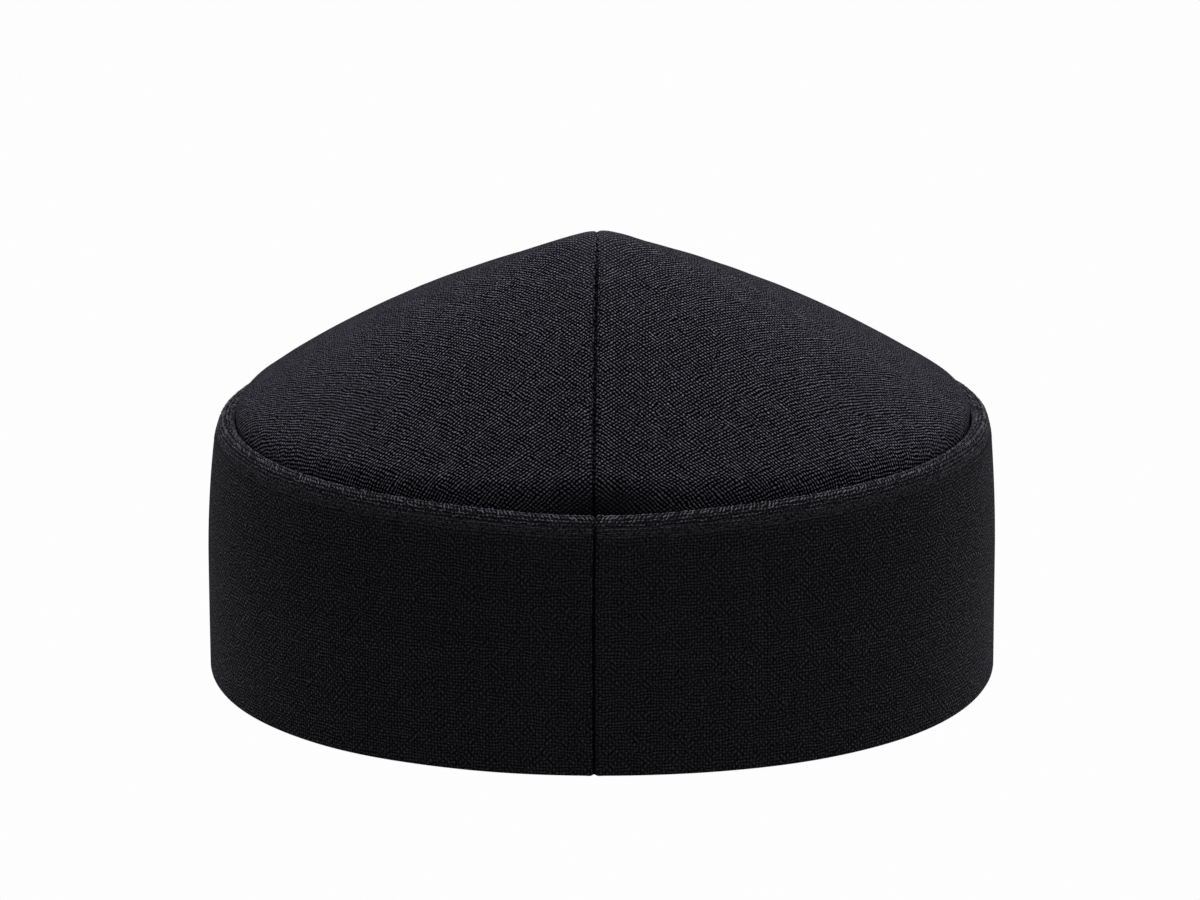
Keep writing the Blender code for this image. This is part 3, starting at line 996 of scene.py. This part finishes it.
def buildAllowance(name, side):
    rows = []
    edge = side * band["seamX"]   # the two allowances meet, so no light comes through
    steps = 180
    for n in range(steps + 1):
        along = allowance["end"] * (2 * n / steps - 1)
        line = []
        for share in (0.0, 0.12, 0.3, 0.5, 0.7, 0.88, 1.0):
            across = edge + allowance["width"] * share
            across += allowance["wave"] * share * noise.noise(Vector((n * 0.31, side * 5.0, 0)))
            radius = math.hypot(across, along)
            fall = crownFall(max(radius, 0.2 * mm))
            depth = (crown["cloth"] + allowance["below"]) / math.cos(fall)
            relief = seamRelief(across - edge, 0.45 * mm, side) if share > 0.1 else 0.0
            height = crownHeight(radius) - depth + 0.8 * min(relief, 0.0)
            line.append(((side * across, along, height), (across, along), 1.0))
        rows.append(line)
    piece = gridPiece(name, rows, flip=side < 0)
    thicken = piece.modifiers.new("cloth", "SOLIDIFY")
    thicken.thickness = allowance["thick"]
    thicken.offset = -1.0
    return finishPiece(piece, crownMaterial)


allowanceLeft = buildAllowance("seamAllowanceLeft", -1)
allowanceRight = buildAllowance("seamAllowanceRight", 1)
print("crown seam: stitches and allowances ready")


# Studio: pale floor, white surround, soft light mostly from above

studio = {
    "floorSize": 14.0,
    "floorWhite": 0.985,        # as the eye sees it
    "floorBounce": 0.20,        # as a light on the cap
    "surround": 0.20,           # the white round it, as a light on the cap
    # soft lamps: (name, size, watts, place, aimed at)
    "lamps": (("topSoftbox", 1.7, 8.0, (0.15, -0.1, 1.5), (0, 0, 0.08)),
              ("backSoftbox", 1.2, 1.5, (0.1, 1.3, 1.0), (0, 0, 0.08)),
              ("rightSoftbox", 0.8, 4.4, (1.6, -0.9, 0.35), (0, 0, 0.04)),
              ("leftSoftbox", 0.8, 2.6, (-1.6, -0.9, 0.35), (0, 0, 0.04))),
}


def shownWhite(tree, white, bounce):
    # white to the eye, dimmer as a light on the cap
    sheet = NodeSheet(tree)
    path = sheet.add("ShaderNodeLightPath")
    mix = sheet.add("ShaderNodeMix")
    sheet.feed(mix.inputs["Factor"], path.outputs["Is Camera Ray"])
    sheet.feed(mix.inputs["A"], bounce)
    sheet.feed(mix.inputs["B"], white)
    return mix.outputs["Result"]


def buildFloor():
    half = studio["floorSize"] / 2
    floor = newPiece("floor", [(-half, -half, 0), (half, -half, 0), (half, half, 0), (-half, half, 0)],
                     [(0, 1, 2, 3)])
    material = bpy.data.materials.new("paleFloor")
    material.use_nodes = True
    tree = material.node_tree
    tree.nodes.clear()
    sheet = NodeSheet(tree)
    glow = sheet.add("ShaderNodeEmission")
    sheet.feed(glow.inputs["Strength"], shownWhite(tree, studio["floorWhite"], studio["floorBounce"]))
    clear = sheet.add("ShaderNodeBsdfTransparent")
    below = sheet.add("ShaderNodeNewGeometry")
    mix = sheet.add("ShaderNodeMixShader")
    sheet.feed(mix.inputs[0], below.outputs["Backfacing"])   # open from below
    tree.links.new(glow.outputs[0], mix.inputs[1])
    tree.links.new(clear.outputs[0], mix.inputs[2])
    output = sheet.add("ShaderNodeOutputMaterial")
    tree.links.new(mix.outputs[0], output.inputs["Surface"])
    floor.data.materials.append(material)
    return floor


def softLight(name, size, power, place, target):
    light = bpy.data.lights.new(name, "AREA")
    light.shape = "DISK"
    light.size = size
    light.energy = power
    lamp = bpy.data.objects.new(name, light)
    lamp.location = place
    lamp.rotation_euler = (Vector(target) - Vector(place)).to_track_quat("-Z", "Y").to_euler()
    bpy.context.scene.collection.objects.link(lamp)
    return lamp


def buildStudio():
    scene = bpy.context.scene
    scene.view_settings.view_transform = "Standard"
    scene.view_settings.look = "None"
    world = bpy.data.worlds.new("studio")
    world.use_nodes = True
    scene.world = world
    backdrop = world.node_tree.nodes["Background"]
    backdrop.inputs["Color"].default_value = (1, 1, 1, 1)
    strength = shownWhite(world.node_tree, 1.0, studio["surround"])
    world.node_tree.links.new(strength, backdrop.inputs["Strength"])
    buildFloor()
    for lamp in studio["lamps"]:
        softLight(*lamp)


# Camera, as the photograph was taken: a long lens, low, a touch to the right

view = {
    "lens": 186.0,              # mm on a 36 mm sensor
    "distance": 1.500,
    "elevation": 15.65,         # degrees
    "azimuth": 0.57,
    "target": (0.0, 0.0, 0.031),
    "pitch": 0.779,             # aims this much above the target
    "yaw": 0.014,               # and this much to its left
    "roll": -0.113,
}


def buildCamera():
    lens = bpy.data.cameras.new("camera")
    lens.lens = view["lens"]
    lens.sensor_width = 36.0
    lens.clip_start, lens.clip_end = 0.05, 60.0
    camera = bpy.data.objects.new("camera", lens)
    bpy.context.scene.collection.objects.link(camera)
    rise, turn = math.radians(view["elevation"]), math.radians(view["azimuth"])
    back = Vector((math.sin(turn) * math.cos(rise), -math.cos(turn) * math.cos(rise), math.sin(rise)))
    camera.location = Vector(view["target"]) + back * view["distance"]
    aim = (-back).to_track_quat("-Z", "Y").to_matrix().to_4x4()
    aim = aim @ Matrix.Rotation(math.radians(view["yaw"]), 4, "Y")
    aim = aim @ Matrix.Rotation(math.radians(view["pitch"]), 4, "X")
    aim = aim @ Matrix.Rotation(math.radians(view["roll"]), 4, "Z")
    camera.rotation_euler = aim.to_euler()
    bpy.context.scene.camera = camera


buildStudio()
buildCamera()
print("studio and camera ready")
